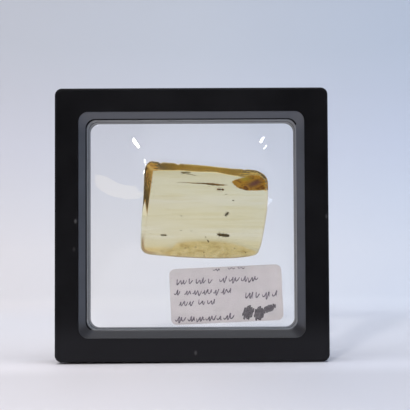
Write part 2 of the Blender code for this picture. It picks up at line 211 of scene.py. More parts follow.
# ABS moulded against a spark-eroded tool: near black, an even fine grain of about
# 0.3 mm, a weak wide sheen, a little pale dust, four bits of lint, and painted bounce light from
# the floor, lighter towards the bottom.
matte_abs = new_material("moulded_black_abs", Roughness=0.5, IOR=1.53, Specular_IOR_Level=0.08)
add, where = nodes_of(matte_abs)
clouds = add("TexNoise", {"Vector": where, "Scale": 55.0, "Detail": 4.0})
tone = add("ValToRGB", (clouds,), {0.35: "#0e0e10", 0.7: "#161618"})
cells = add("TexVoronoi", {"Vector": where, "Scale": 210.0, "Randomness": 1.0}).node.outputs
spot = add("MapRange", (cells["Distance"], 0.035, 0.02))
picked = add("Math", (cells["Color"], 0.93), operation="GREATER_THAN")
specks = add("Math", (spot, picked), operation="MULTIPLY")
height = add("SeparateXYZ", (where,)).node.outputs["Z"]
# painted light: the face lighter towards the bottom, where bounce light from the floor falls
floor_bounce_share = add("MapRange", (height, 0.02, 0.006), **EASED)
bounce_lit_tone = add("Mix", (floor_bounce_share, tone, "#202023"), data_type="RGBA")
squashed = add("VectorMath", (where, (1.0, 1.0, 0.6)), operation="MULTIPLY")
for x, z, strength in ((-0.0465, 0.0564, 0.34), (-0.0471, 0.0452, 0.12),
                       (0.0014, 0.0037, 0.3), (0.0541, 0.0579, 0.22)):
    away = add("VectorMath", (squashed, (x, -0.01, 0.6 * z)), operation="DISTANCE")
    lint = add("MapRange", (away, 0.0008, 0.0001, 0.0, strength), **EASED)
    specks = add("Math", (specks, lint), operation="ADD")
grain = add("TexNoise", {"Vector": where, "Scale": 3200.0, "Detail": 2.0})
dress(matte_abs, Base_Color=add("Mix", (specks, bounce_lit_tone, "#7b7a7c"), data_type="RGBA"),
      Normal=add("Bump", {"Height": grain, "Strength": 0.12, "Distance": 0.00004}),
      Roughness=add("MapRange", (clouds, 0.3, 0.75, 0.44, 0.58)))

# The ledge is polished in the tool: the same ABS, smooth enough to mirror the pale
# surroundings as a satin grey, with a painted lighter reflection at the top and painted shade at
# the bottom.
satin_abs = new_material("satin_abs_ledge", Roughness=0.36, IOR=1.53, Specular_IOR_Level=0.68)
add, where = nodes_of(satin_abs)
clouds = add("TexNoise", {"Vector": where, "Scale": 90.0, "Detail": 3.0})
tone = add("ValToRGB", (clouds,), {0.3: "#343840", 0.75: "#3e424b"})
height = add("SeparateXYZ", (where,)).node.outputs["Z"]
# painted light and shade: a lighter band at the top, a darker one at the bottom
for low, high, colour in ((0.091, 0.097, "#464951"), (0.017, 0.0125, "#242427")):
    share = add("MapRange", (height, low, high), **EASED)
    tone = add("Mix", (share, tone, colour), data_type="RGBA")
dress(satin_abs, Base_Color=tone)

# The window's wall is the smoothest part of the tool: seen along its length it mirrors
# the pale surroundings strongly.
smooth_abs = new_material("smooth_abs_wall", Base_Color="#16171a", Roughness=0.33, IOR=1.53,
                          Specular_IOR_Level=0.24)


def frame_half(name, side):
    """The moulding's profile, inset from the outline and depth from the joint, carried
    round a square whose corner radius changes a little from the outline to the window.
    The ledge's inner edge is matte at the left and top, and satin at the right and bottom.
    """
    face = DEPTH / 2
    profile, owner = round_corners([
        (0.0, JOINT_Y, 0.12), (0.0, face, 1.2), (LEDGE_IN, face, 0.25),
        (LEDGE_IN, face - 0.6, 0.12), (WALL_IN, face - 2.4, 0.55), (WALL_IN, SEAT_Y, 0.1),
        (SEAT_IN, SEAT_Y, 0.1), (SEAT_IN, JOINT_Y, 0.1)])
    inset, depth = profile.T
    radius = np.interp(inset, (0, LEDGE_IN, WALL_IN), (2.85, 3.9, WINDOW_R))
    x, z = round_square(SIDE / 2 - inset, radius)
    rows, cols = x.shape
    matte, satin, smooth = 0, 1, 2
    finish = np.array([matte, matte, matte, satin, smooth, smooth, matte, matte])[owner]
    finish = np.repeat(finish[:, None], cols, 1)
    column = np.arange(cols)
    finish[np.flatnonzero(owner == 4)[:-1]] = np.where((column > 9) & (column < 32), satin, matte)
    points = grid(x, side * depth[:, None], z + CENTRE_Z).reshape(-1, 3)
    ob = build_mesh(name, points, ring_faces(rows, cols, closed_rows=True), (), finish.ravel(),
                    (matte_abs, satin_abs, smooth_abs))
    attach(ob, "root")
    return ob


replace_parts(frame_half("frame_front_moulding", -1), "frame_front")
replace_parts(frame_half("frame_back_moulding", 1), "frame_back")


# ============================================================
# The slab of amber: one piece of pale copal, sawn and hand polished, with a steep facet
# behind its top edge that tapers down the left side, a long shallow hollow facet behind
# its lower edge, and rounded rims.  It hangs between the films and nothing else holds it.
# ============================================================
AMBER_HALF_T = 4.4
AMBER_MID = np.array([5.1, 59.8])
AMBER_OUTLINE = np.array([
    (-18.6, 79.0), (-16.9, 80.8), (-13.2, 80.6), (-5.1, 79.95), (5.9, 79.05), (16.8, 77.8),
    (25.6, 77.1), (28.9, 75.65), (30.7, 73.5), (31.1, 70.5), (31.0, 65.5), (30.7, 61.1),
    (29.8, 55.3), (28.6, 48.8), (27.7, 45.5), (26.0, 42.7), (20.5, 41.6), (13.3, 41.2),
    (5.3, 41.3), (-4.9, 41.8), (-12.2, 42.4), (-17.7, 43.0), (-19.9, 44.1), (-20.8, 46.1),
    (-20.7, 52.7), (-20.2, 60.0), (-19.7, 66.2), (-19.5, 72.8), (-19.3, 76.8)])
# Inner edges of the steep facets at the back: along the top a hand-ground line, rows of x
# and z; down the left side and across the upper right corner straight ones.
TOP_EDGE = ((-20.0, -12.3, -4.9, 2.5, 9.9, 12.4, 14.8, 19.8, 25.0, 31.0),
            (77.1, 77.1, 77.12, 76.55, 76.3, 75.9, 75.35, 74.45, 74.0, 73.5))
LEFT_EDGE = ((-18.15, 59.0), (-15.75, 77.35))
CORNER_EDGE = ((23.5, 75.0), (30.2, 68.4))
# Upper edge of the tan skin left on the lower facet, rows of x and z.
SKIN_EDGE = ((-12, -8.8, -7.3, -5.8, -2, 2.2, 8, 13.1, 17, 20.5, 23, 26, 29),
             (44.0, 45.2, 46.7, 47.8, 48.3, 48.3, 48.2, 47.9, 47.3, 46.3, 45.3, 44.2, 42.6))
# Nicks in the upper rim: place in X, half width, depth.
NICKS = (-12.6, 0.75, 0.45), (-5.6, 0.8, 0.38), (21.5, 0.6, 0.2)


def smooth_loop(corners, count):
    """A closed curve through the corners, even in length: each stretch is the cubic that
    leaves a corner along the line between its two neighbours."""
    p = np.asarray(corners, float)
    m = 0.5 * (np.roll(p, -1, 0) - np.roll(p, 1, 0))
    q, n = np.roll(p, -1, 0), np.roll(m, -1, 0)
    span = np.linalg.norm(q - p, axis=1)
    m = m * np.minimum(1, span / np.linalg.norm(m, axis=1))[:, None]
    n = n * np.minimum(1, span / np.linalg.norm(n, axis=1))[:, None]
    t = np.linspace(0, 1, 24, endpoint=False)[None, :, None]
    h = ((2 * t**3 - 3 * t**2 + 1) * p[:, None] + (t**3 - 2 * t**2 + t) * m[:, None]
         + (3 * t**2 - 2 * t**3) * q[:, None] + (t**3 - t**2) * n[:, None]).reshape(-1, 2)
    step = np.linalg.norm(np.roll(h, -1, 0) - h, axis=1)
    along = np.concatenate([[0], np.cumsum(step)])
    at = np.linspace(0, along[-1], count, endpoint=False)
    loop = np.vstack([h, h[:1]])
    return np.stack([np.interp(at, along, loop[:, k]) for k in (0, 1)], -1)


def edge_distance(x, z, loop):
    """Distance of each point to a closed outline, positive inside it."""
    best = np.full(x.shape, 1e9)
    inside = np.zeros(x.shape, bool)
    for (ax, az), (dx, dz) in zip(loop, np.roll(loop, -1, 0) - loop):
        t = np.clip(((x - ax) * dx + (z - az) * dz) / (dx * dx + dz * dz), 0, 1)
        best = np.minimum(best, (x - ax - t * dx) ** 2 + (z - az - t * dz) ** 2)
        if dz:
            inside ^= ((az > z) != (az + dz > z)) & (x < ax + (z - az) * dx / dz)
    return np.where(inside, 1, -1) * np.sqrt(best)


def soft_min(a, b, width):
    """The lower of two heights, with the crease between them rounded over width."""
    t = np.clip(0.5 + 0.5 * (b - a) / width, 0, 1)
    return b + (a - b) * t - width * t * (1 - t)


def left_of(x, z, p, q):
    """Distance of each point to the left of the line from p to q, which goes upwards."""
    dx, dz = q[0] - p[0], q[1] - p[1]
    return -((x - p[0]) * dz - (z - p[1]) * dx) / math.hypot(dx, dz)


def dome(x, z):
    """How far each point is from the crown's top: 1 on an ellipse of 26 by 20 mm."""
    return ((x - 5.1) / 26) ** 2 + ((z - 60.3) / 20) ** 2


def rim_round(edge, radius):
    """Drop of a quarter circle at an edge, from the distance to the edge."""
    e = np.clip(edge, 0, radius)
    return radius - np.sqrt(radius * radius - (radius - e) ** 2)


def bell(off, width):
    """1 at zero, and falling away on both sides as a bell curve: exp(-(off / width)^2)."""
    return np.exp(-(off / width) ** 2)


def fade(past, width):
    """1 up to zero, and falling away beyond it as half a bell curve."""
    return bell(np.maximum(past, 0), width)


def blunt(x, z):
    """Share of the rim's round that is there: all of it, but under half on the left side
    between 53 and 69 mm up, where the edge is only broken."""
    return 1 - 0.55 * fade(x + 18.2, 1.0) * fade(z - 69.0, 2.5) * fade(53.0 - z, 4.0)


def amber_front(x, z, edge):
    """Height of the front face: a faint crown, and a round of 0.9 mm at the rim."""
    crown = AMBER_HALF_T - 0.25 * dome(x, z)
    wave = 0.018 * np.sin(0.55 * x + 0.8) * np.sin(0.48 * z + 0.3)
    return crown + wave - blunt(x, z) * rim_round(edge, 0.9)


def steep(x, z):
    """How far each point lies beyond the inner edge of the top, left and corner facet,
    and how wide the left facet is at its height: it narrows to a point at the bottom."""
    return (z - np.interp(x, *TOP_EDGE), left_of(x, z, *LEFT_EDGE), left_of(x, z, *CORNER_EDGE),
            0.27 * np.maximum(z - 58.6, 0))


def amber_back(x, z, edge):
    """Height of the back face: a crown, cut by the steep facets and by the shallow hollow
    facet along the bottom.  The facets are less steep at the two upper corners, and the
    left one ends in a level step, outside which a clear rim is left."""
    rounded = rim_round(edge, 0.8)
    h = AMBER_HALF_T - 0.2 * dome(x, z) - blunt(x, z) * rounded
    arch = 48.6 - 0.0088 * (x - 6.5) ** 2
    low = AMBER_HALF_T - 0.34 * (arch - z)
    top, left, corner, width = steep(x, z)
    eased = bell(x + 17.0, 4.0) * fade(78.0 - z, 5.5)
    right = fade(24.0 - x, 3.0)
    cut = AMBER_HALF_T - (1.05 - 0.25 * eased - 0.24 * right) * top
    cut = soft_min(cut, AMBER_HALF_T - (0.96 - 0.16 * eased) * np.minimum(left, width), 0.9)
    cut = soft_min(cut, AMBER_HALF_T - 0.81 * corner, 0.9)
    sharp = 0.8 - 0.55 * fade(x + 16.5, 1.5)
    return soft_min(soft_min(h, cut - sharp * rounded, 0.12), low, 0.5)


def ramp(value, width):
    """From 0 to 1 across a width about zero, eased at both ends."""
    t = np.clip(value / width + 0.5, 0, 1)
    return t * t * (3 - 2 * t)


def skin_zones(x, y, z):
    """How far each point of the surface lies in each zone, 0 to 1: the tan skin
    on the lower facet, a little weaker in the lower left corner; a brown band by the rim,
    in the lower left corner, along the bottom and down the right side; the steep facets,
    which are sawn and hardly polished; and their two ends, which are chipped and dull."""
    crust = np.maximum(ramp(np.interp(x, *SKIN_EDGE) - z, 1.7),
                       0.85 * ramp(45.9 - z, 1.8) * ramp(-7.0 - x, 2.0))
    crust *= ramp(y - 1.0, 1.0)
    edge = edge_distance(x, z, smooth_loop(AMBER_OUTLINE, 200))
    lower_left = ramp(-15.0 - x, 6.0) * ramp(50.0 - z, 6.0)
    rim_band = (0.75 * lower_left * bell(edge - 0.75, 0.5)
            + 0.35 * ramp(0.5 - edge, 0.6) * ramp(-4.0 - x, 10.0) * ramp(46.0 - z, 3.0)
            + 0.22 * ramp(0.4 - edge, 0.5) * ramp(x - 26.0, 3.0))
    top, left, corner, width = steep(x, z)
    beyond = np.max([top, np.minimum(left, width - left + 0.3), corner], 0)
    sawn = ramp(beyond - 0.15, 0.3) * (y > 0.2)
    chipped = (bell(x + 17.0, 3.4) * fade(77.5 - z, 5.5)
               + 0.4 * ramp(-14.0 - x, 2.0) * ramp(z - 64.0, 12.0)
               + 0.9 * fade(22.0 - x, 3.0) * bell(z - 75.0, 3.6))
    return np.stack([crust, np.minimum(rim_band, 1), sawn, sawn * np.minimum(chipped, 1)], -1)


def capped(rings, poles=None):
    """Rings of equal count as one closed skin: points, quads, and a fan at each end, to
    the poles or else to the middles of the end rings."""
    rows, cols = rings.shape[:2]
    if poles is None:
        poles = rings[0].mean(0), rings[-1].mean(0)
    c, last = np.arange(cols), (rows - 1) * cols
    fans = [np.stack([first + c, first + (c + 1) % cols, np.full(cols, rows * cols + end)], -1)
            for end, first in enumerate((0, last))]
    points = np.concatenate([rings.reshape(-1, 3), poles])
    return points, ring_faces(rows, cols), np.concatenate(fans)


def add_uv(ob, name, values):
    """A UV layer from two numbers for each vertex."""
    corner_of = np.empty(len(ob.data.loops), np.int32)
    ob.data.loops.foreach_get("vertex_index", corner_of)
    uv = values[corner_of].astype(np.float32)
    ob.data.uv_layers.new(name=name).data.foreach_set("uv", uv.ravel())


def slab(name, mat):
    """Rays from the slab's middle to its outline: rings crowd towards the rim, where the
    facets are, on both faces, and are joined by a slightly bellied side wall."""
    rim = smooth_loop(AMBER_OUTLINE, 480)
    nicks = sum(deep * np.exp(-((rim[:, 0] - at) / wide) ** 4) for at, wide, deep in NICKS)
    rim[:, 1] -= np.where(rim[:, 1] > 74, nicks, 0)
    share = np.concatenate([np.linspace(0, 0.78, 26)[1:],
                            0.78 + 0.22 * np.sin(np.linspace(0, math.pi / 2, 40))[1:]])
    reach = rim - AMBER_MID
    x, z = (AMBER_MID[k] + share[:, None] * reach[:, k] for k in (0, 1))
    edge = edge_distance(x, z, rim)
    edge[-1] = 0
    front, back = -amber_front(x, z, edge), amber_back(x, z, edge)
    t = np.linspace(0, 1, 9)[1:-1, None]
    belly = 0.15 * 4 * t * (1 - t)
    out = unit(reach)
    wall = grid(rim[:, 0] + belly * out[:, 0], front[-1] * (1 - t) + back[-1] * t,
                rim[:, 1] + belly * out[:, 1])
    rings = np.concatenate([grid(x, front, z), wall, grid(x, back, z)[::-1]])
    points, quads, fans = capped(rings, [[AMBER_MID[0], face[0].mean(), AMBER_MID[1]]
                                         for face in (front, back)])
    ob = build_mesh(name, points, quads, fans, mats=(mat,))
    zones = skin_zones(*points.T)
    add_uv(ob, "skin", zones[:, :2])
    add_uv(ob, "sawn", zones[:, 2:])
    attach(ob, "root")
    return ob


def veil(add, where, scale, distortion, detail=3.0, stops=None):
    """Noise stretched along the flow, counts per metre along X, Y and Z, as a number or,
    through the stops of a ramp, as a colour."""
    cells = add("Mapping", {"Vector": where, "Scale": scale})
    noise = add("TexNoise", {"Vector": cells, "Scale": 1.0, "Detail": detail,
                             "Distortion": distortion})
    return add("ValToRGB", (noise,), stops) if stops else noise


# Copal: a young clear resin, refractive index 1.54, polished by hand.  The colour is in
# the depth of it: blue light is lost first, so 9 mm looks straw and 40 mm looks brown.
copal = new_material("polished_copal", Roughness=0.02, IOR=1.54, Transmission_Weight=1.0,
                     Specular_IOR_Level=0.05)
add, where = nodes_of(copal)
across, _, height = add("SeparateXYZ", (where,)).node.outputs
# Faint layers of clearer and cloudier resin, and finer streaks along them.
drift = add("Math", (veil(add, where, (22.0, 30.0, 160.0), 0.8), 0.012, height),
            operation="MULTIPLY_ADD")
bands = add("ValToRGB", (add("MapRange", (drift, 0.046, 0.086)),), {
    0.17: "#f8f2dc", 0.28: "#ffffff", 0.4: "#fcfaf0", 0.5: "#fdfbf0", 0.61: "#ffffff",
    0.72: "#fffffa", 0.84: "#faf8ec", 0.92: "#f8f5e6"})
streaks = veil(add, where, (45.0, 90.0, 900.0), 0.3, 3.0, {0.3: "#f8f4e2", 0.5: "#ffffff"})
flow = add("Mix", (1.0, bands, streaks), data_type="RGBA", blend_type="MULTIPLY")
# The skin and the brown band by the rim, then the saw marks and the chips of the steep facets.
crust, rim_band, _ = add("SeparateXYZ", (add("UVMap", uv_map="skin"),)).node.outputs
sawn, chipped, _ = add("SeparateXYZ", (add("UVMap", uv_map="sawn"),)).node.outputs
mottle = veil(add, where, (260.0, 260.0, 420.0), 0.4, 5.0,
              {0.3: "#c89a46", 0.48: "#f0cc80", 0.68: "#fee09c"})
saw_marks = veil(add, where, (70.0, 70.0, 1500.0), 0.6, 3.0, {0.35: "#c8943c", 0.6: "#ffe6a4"})
chips = veil(add, where, (300.0, 300.0, 420.0), 0.8, 4.0,
             {0.32: "#5a2e08", 0.43: "#b8661a", 0.56: "#dc902c", 0.7: "#f0b858"})
earthy = veil(add, where, (420.0, 420.0, 560.0), 1.2, 4.0,
              {0.32: "#5c4010", 0.44: "#b08626", 0.56: "#d8b048", 0.68: "#ecd07c"})
right_end = add("MapRange", (across, 0.0, 0.01))
chips = add("Mix", (right_end, chips, earthy), data_type="RGBA")
left_end = add("MapRange", (across, -0.013, -0.016))
saw_marks = add("Mix", (left_end, saw_marks, "#a86c1c"), data_type="RGBA")
tint = flow
for share, colour in ((crust, mottle), (rim_band, "#9c6c40"), (sawn, saw_marks), (chipped, chips)):
    tint = add("Mix", (share, tint, colour), data_type="RGBA")
matt = 0.02
for share, more in ((crust, 0.22), (sawn, 0.16), (chipped, 0.16)):
    matt = add("Math", (share, more, matt), operation="MULTIPLY_ADD")
scoops = add("Math", (veil(add, where, (330.0, 330.0, 420.0), 0.6, 1.0), chipped),
             operation="MULTIPLY")
ridges = add("Math", (veil(add, where, (60.0, 60.0, 1100.0), 0.4, 2.0), sawn),
             operation="MULTIPLY")
relief = add("Math", (ridges, 0.6, scoops), operation="MULTIPLY_ADD")
dress(copal, Base_Color=tint, Roughness=matt,
      Normal=add("Bump", {"Height": relief, "Strength": 1.0, "Distance": 0.00016}))
absorb = add("VolumeAbsorption", {"Color": (1.0, 0.825, 0.03, 1.0), "Density": 48.0})
feed(copal.node_tree.nodes["Material Output"], {"Volume": absorb})

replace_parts(slab("amber_slab", copal), "amber_front", "amber_back")


# ============================================================
# The two films: clear elastic polyurethane, each welded to its half of the frame and
# stretched over one face of the slab, like a tent skin over a block.
# ============================================================
FILM_GAP, FILM_T = 0.05, 0.1      # air left between film and slab; thickness
FILM_Y = 0.06                      # where the frame holds it, from the joint of the halves
FILM_HALF = 50.2                   # half its width, in the seat behind the lip


def stretched(height_of_slab):
    """Height of a film held at the window's edge and pushed out by the slab.

    Every free point of a stretched skin lies at the mean of its neighbours; the sum is
    run by over-relaxation on a checkered grid, and never lets the film sink into the slab.
    """
    axis = np.linspace(-WINDOW, WINDOW, 201)
    x, z = np.meshgrid(axis, axis + CENTRE_Z, indexing="ij")
    edge = edge_distance(x, z, smooth_loop(AMBER_OUTLINE, 160))
    floor = np.where(edge > 0, height_of_slab(x, z, edge) + FILM_GAP, FILM_Y)
    h = np.maximum(floor, FILM_Y)
    checker = np.indices(h.shape).sum(0) % 2
    for _ in range(420):
        for colour in (0, 1):
            mean = h.copy()
            mean[1:-1, 1:-1] = 0.25 * (h[:-2, 1:-1] + h[2:, 1:-1] + h[1:-1, :-2] + h[1:-1, 2:])
            h = np.where(checker == colour, np.maximum(h + 1.95 * (mean - h), floor), h)
            h[[0, -1], :] = h[:, [0, -1]] = FILM_Y
    return h


def sample(h, x, z):
    """The grid's height at any points, by a cubic through the four nearest each way."""
    n = len(h) - 1
    u, v = (np.clip((way + WINDOW) / (2 * WINDOW) * n, 0, n - 1e-6) for way in (x, z - CENTRE_Z))
    i, j = u.astype(int), v.astype(int)

    def weights(f):
        return (-0.5 * f + f**2 - 0.5 * f**3, 1 - 2.5 * f**2 + 1.5 * f**3,
                0.5 * f + 2 * f**2 - 1.5 * f**3, -0.5 * f**2 + 0.5 * f**3)
    return sum(wa * wb * h[np.clip(i + a - 1, 0, n), np.clip(j + b - 1, 0, n)]
               for a, wa in enumerate(weights(u - i)) for b, wb in enumerate(weights(v - j)))


def film(name, side, height_of_slab, mat):
    """Rays from the slab's middle: over the slab, out to the window's edge and on into
    the seat behind the lip, with rings close together over the slab's rim."""
    h = stretched(height_of_slab)
    rim = smooth_loop(AMBER_OUTLINE, 320)
    angle = np.arctan2(rim[:, 1] - AMBER_MID[1], rim[:, 0] - AMBER_MID[0])
    ray = np.stack([np.cos(angle), np.sin(angle)], -1)

    def leave(half):
        """Where the rays leave a square of that half width."""
        t = (np.sign(ray) * half + (0, CENTRE_Z) - AMBER_MID) / np.where(abs(ray) < 1e-9, 1e-9, ray)
        return AMBER_MID + t.min(1)[:, None] * ray
    window, seat = leave(WINDOW), leave(FILM_HALF)
    s = np.concatenate([np.linspace(0, 0.8, 9)[1:], np.linspace(0.8, 1, 14)[1:]])
    inner = AMBER_MID + s[:, None, None] * (rim - AMBER_MID)
    t = np.linspace(0, 1, 33)[1:] ** 1.35
    outer = rim + t[:, None, None] * (window - rim)
    flat = np.concatenate([inner, outer, (window + 0.5 * (seat - window))[None], seat[None]])
    x, z = flat[..., 0], flat[..., 1]
    y = sample(h, x, z)
    y[-3:] = FILM_Y
    rings = np.concatenate([grid(x, side * y, z), grid(x, side * (y + FILM_T), z)[::-1]])
    mid = float(sample(h, AMBER_MID[:1], AMBER_MID[1:])[0])
    points, quads, fans = capped(rings, [[AMBER_MID[0], side * up, AMBER_MID[1]]
                                         for up in (mid, mid + FILM_T)])
    ob = build_mesh(name, points, quads, fans, mats=(mat,), sharp=50)
    ob.visible_shadow = False
    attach(ob, "root")
    return ob


# Cast polyurethane film, 0.1 mm: clear and glossy.  Its refractive index is 1.5, but set
# lower, because it shows two faces to the air where the real one clings to the slab.
clear_film = new_material("clear_polyurethane_film", Base_Color="#fefefd", Roughness=0.0,
                          IOR=1.33, Transmission_Weight=1.0)
films = (film("film_front_skin", -1, amber_front, clear_film),
         film("film_back_skin", 1, amber_back, clear_film))
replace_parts(films[0], "film_front")
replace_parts(films[1], "film_back")


# ============================================================
# The five insects: two wood-boring beetles, an ant, a fly and a gnat, each dried and
# darkened, set fast in the resin near its middle plane.
# ============================================================


def spline(rows, count):
    """Rows of numbers made denser: through each four neighbours the cubic whose slope at
    a row is half the step between the rows beside it."""
    p = np.asarray(rows, float)
    p = np.vstack([2 * p[0] - p[1], p, 2 * p[-1] - p[-2]])
    t = np.linspace(0, len(p) - 3 - 1e-9, count)
    i = t.astype(int)
    f = (t - i)[:, None]
    a, b, c, d = p[i], p[i + 1], p[i + 2], p[i + 3]
    return b + 0.5 * f * (c - a + f * (2 * a - 5 * b + 4 * c - d + f * (3 * (b - c) + d - a)))


def full_turn(count):
    """Even angles once round, the last a step short of the first."""
    return np.linspace(0, 2 * math.pi, count, endpoint=False)


def turned(u, v, degrees, x, z):
    """u and v turned anticlockwise about zero, then moved by x and z."""
    c, s = math.cos(math.radians(degrees)), math.sin(math.radians(degrees))
    return x + u * c - v * s, z + u * s + v * c


def join(shapes):
    """Skins as (points, quads, fans) with their material's number, made one: all points,
    quads and fans, and the number of each face."""
    skins = [skin for skin, _ in shapes]
    starts = np.cumsum([0] + [len(skin[0]) for skin in skins])
    points = np.concatenate([skin[0] for skin in skins])
    quads, fans = (np.concatenate([skin[k] + start for skin, start in zip(skins, starts)])
                   for k in (1, 2))
    return points, quads, fans, np.concatenate(
        [np.full(len(skin[k]), number) for k in (1, 2) for skin, number in shapes])


def body(stations, bands=0.0, around=26, rows=110):
    """A body along u from stations of place, half width, half depth and sideways shift,
    which may be left out; bands is how many times a unit of length its skin is nipped in
    by a twentieth."""
    u, v, w, shift = spline([(*station, 0.0)[:4] for station in stations], rows).T
    nip = 1 - (0.06 * np.abs(np.cos(math.pi * bands * u)) ** 6 if bands else 0)
    a = full_turn(around)
    v, w = np.maximum(v, 0.01) * nip, np.maximum(w, 0.01) * nip
    return capped(grid(u[:, None], shift[:, None] + v[:, None] * np.cos(a),
                       w[:, None] * np.sin(a)))


def limb(joints, radii, around=8, rows=30):
    """A leg or feeler: a tube along its joints, square to its path, with its radii."""
    path = spline(np.column_stack([joints, radii]), rows)
    along = unit(np.gradient(path[:, :3], axis=0))
    side = unit(np.cross(along, (0.13, 0.21, 0.97)))
    rise = np.cross(along, side)
    a = full_turn(around)[None, :, None]
    return capped(path[:, None, :3] + path[:, 3, None, None]
                  * (side[:, None] * np.cos(a) + rise[:, None] * np.sin(a)))


def wing(root, tip, width, lift, rows=26, around=16):
    """A wing: a flat lens along root to tip, widest past its middle, 0.03 mm thick."""
    root, tip = np.array(root), np.array(tip)
    t = np.linspace(0, 1, rows)
    along = unit(tip - root)
    across = np.array([-along[1], along[0], 0.0])
    half = width / 2 * np.sin(math.pi * np.clip(t, 0.03, 0.97) ** 0.8) ** 0.6
    a = full_turn(around)[None, :, None]
    centre = root + t[:, None] * (tip - root)
    ripple = 0.02 * np.sin(9 * a) * np.sin(math.pi * t)[:, None, None]
    return capped(centre[:, None] + half[:, None, None] * across * np.cos(a)
                  + (lift + 0.015 * np.sin(a) + ripple) * np.array([0, 0, 1.0]))


def pairs(limbs, k=1.0):
    """Limbs of scale k on both sides, each given by its joints (u, v, w) and its radii."""
    return [(limb([(k * u, side * k * v, k * w) for u, v, w in joints], [k * r for r in radii]), 0)
            for side in (-1, 1) for joints, radii in limbs]


def insect(name, node, place, shapes, mats):
    """Shapes as (skin, material number) joined, turned and set in the slab: u and v lie
    in its plane and w is depth."""
    x, z, turn = place
    points, quads, fans, numbers = join(shapes)
    u, v, w = points.T
    across, up = turned(u, v, turn, x, z)
    ob = build_mesh(name, grid(across, w, up), quads, fans, numbers, mats)
    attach(ob, "root")
    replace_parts(ob, node)
    return ob


def chitin(name, low, high, rough, pits):
    """Insect skin: a cloudy tone between two colours, a satin sheen and fine pits."""
    mat = new_material(name, IOR=1.56, Specular_IOR_Level=0.45)
    add, where = nodes_of(mat)
    cloud = add("TexNoise", {"Vector": where, "Scale": 1400.0, "Detail": 3.0})
    pit = add("TexVoronoi", {"Vector": where, "Scale": pits})
    dress(mat, Base_Color=add("ValToRGB", (cloud,), {0.35: low, 0.68: high}),
          Normal=add("Bump", {"Height": pit, "Strength": 0.5, "Distance": 0.00004}),
          Roughness=add("MapRange", (cloud, 0.3, 0.7, rough, rough + 0.15)))
    return mat


beetle_skin = chitin("beetle_chitin", "#34301f", "#8a7654", 0.34, 7000.0)
pale_skin = chitin("pale_beetle_chitin", "#5c5440", "#9a8e6c", 0.4, 9000.0)
ant_skin = chitin("ant_chitin", "#5e360e", "#ac7428", 0.32, 9000.0)
fly_skin = chitin("fly_chitin", "#282208", "#5e501c", 0.36, 9000.0)
gnat_skin = chitin("gnat_chitin", "#5c5020", "#988440", 0.4, 9000.0)
# Wings: a thin clear membrane with brown veins, so nearly all light passes it.
wing_skin = new_material("wing_membrane", Roughness=0.25, IOR=1.5, Alpha=0.1)
add, where = nodes_of(wing_skin)
veins = add("TexWave", {"Vector": where, "Scale": 900.0, "Distortion": 6.0, "Detail": 2.0})
dress(wing_skin, Base_Color=add("ValToRGB", (veins.node.outputs["Fac"],),
                                {0.1: "#5a4a20", 0.4: "#a8965c"}))


def borer(k):
    """A wood borer of scale k: short head, long collar, rod-like wing cases parted by a
    seam, six bent legs and clubbed feelers."""
    stations = [(-2.5, 0.1, 0.1), (-2.4, 0.38, 0.36), (-2.05, 0.52, 0.5),
                (-0.9, 0.6, 0.56), (0.3, 0.61, 0.58), (0.5, 0.5, 0.5), (0.62, 0.55, 0.54),
                (1.2, 0.59, 0.57), (1.78, 0.5, 0.5), (1.88, 0.38, 0.4), (2.02, 0.44, 0.44),
                (2.34, 0.4, 0.4), (2.5, 0.12, 0.14)]
    p, q, f = body([(k * a, k * b, k * d) for a, b, d in stations], rows=150, around=40)
    u, v, w = p.T
    cases = u < 0.5 * k
    seam = 0.05 * k * bell(v, 0.05 * k) * cases * (w < 0)
    rows_of_pits = 0.012 * k * np.cos(22 * np.arctan2(w, v)) * cases * (u > -2.3 * k)
    p = grid(u, v, w + seam + rows_of_pits * np.sign(-w))
    legs = [([(u, 0.35, 0.2), (u + du * 0.5, 0.78, 0.36), (u + du * 0.9, out, 0.12),
              (u + du * 1.15, out - 0.04, 0.05)], [0.12, 0.11, 0.06, 0.04])
            for u, du, out in ((1.35, 0.55, 0.98), (0.05, 0.1, 1.02), (-0.85, -0.45, 0.96))]
    feeler = ([(2.15, 0.22, 0.05), (2.55, 0.38, 0.1), (2.74, 0.34, 0.11), (2.86, 0.3, 0.12)],
              [0.06, 0.05, 0.12, 0.05])
    return [((p, q, f), 0)] + pairs([*legs, feeler], k)


insect("beetle_large_body", "beetle_large", (12.8, 50.7, 173.0), borer(1.0), (beetle_skin,))
insect("beetle_small_body", "beetle_small", (-11.5, 50.8, 177.0), borer(0.5), (pale_skin,))

ant = body([(-1.42, 0.06, 0.06), (-1.28, 0.28, 0.26), (-0.95, 0.45, 0.41), (-0.58, 0.4, 0.36),
            (-0.36, 0.14, 0.14), (-0.24, 0.11, 0.12), (-0.14, 0.18, 0.2), (-0.06, 0.11, 0.12),
            (0.06, 0.2, 0.22), (0.34, 0.27, 0.29), (0.62, 0.24, 0.26), (0.74, 0.12, 0.13),
            (0.86, 0.28, 0.24), (1.12, 0.37, 0.31), (1.34, 0.28, 0.24), (1.47, 0.08, 0.08)],
           rows=150)
legs = [([(u, 0.1, 0.1), (u + du * 0.45, 0.58, 0.42), (u + du * 0.8, 0.84, 0.1),
          (u + du * 1.3, out, -0.1)], [0.06, 0.055, 0.045, 0.03])
        for u, du, out in ((0.55, 0.5, 0.98), (0.36, 0.05, 1.1), (0.18, -0.55, 1.02))]
feeler = [(1.36, 0.12, 0.05), (1.62, 0.5, 0.2), (1.94, 0.32, 0.22)], [0.045, 0.04, 0.045]
insect("ant_body", "ant", (11.8, 69.3, 176.0), [(ant, 0)] + pairs([*legs, feeler]), (ant_skin,))

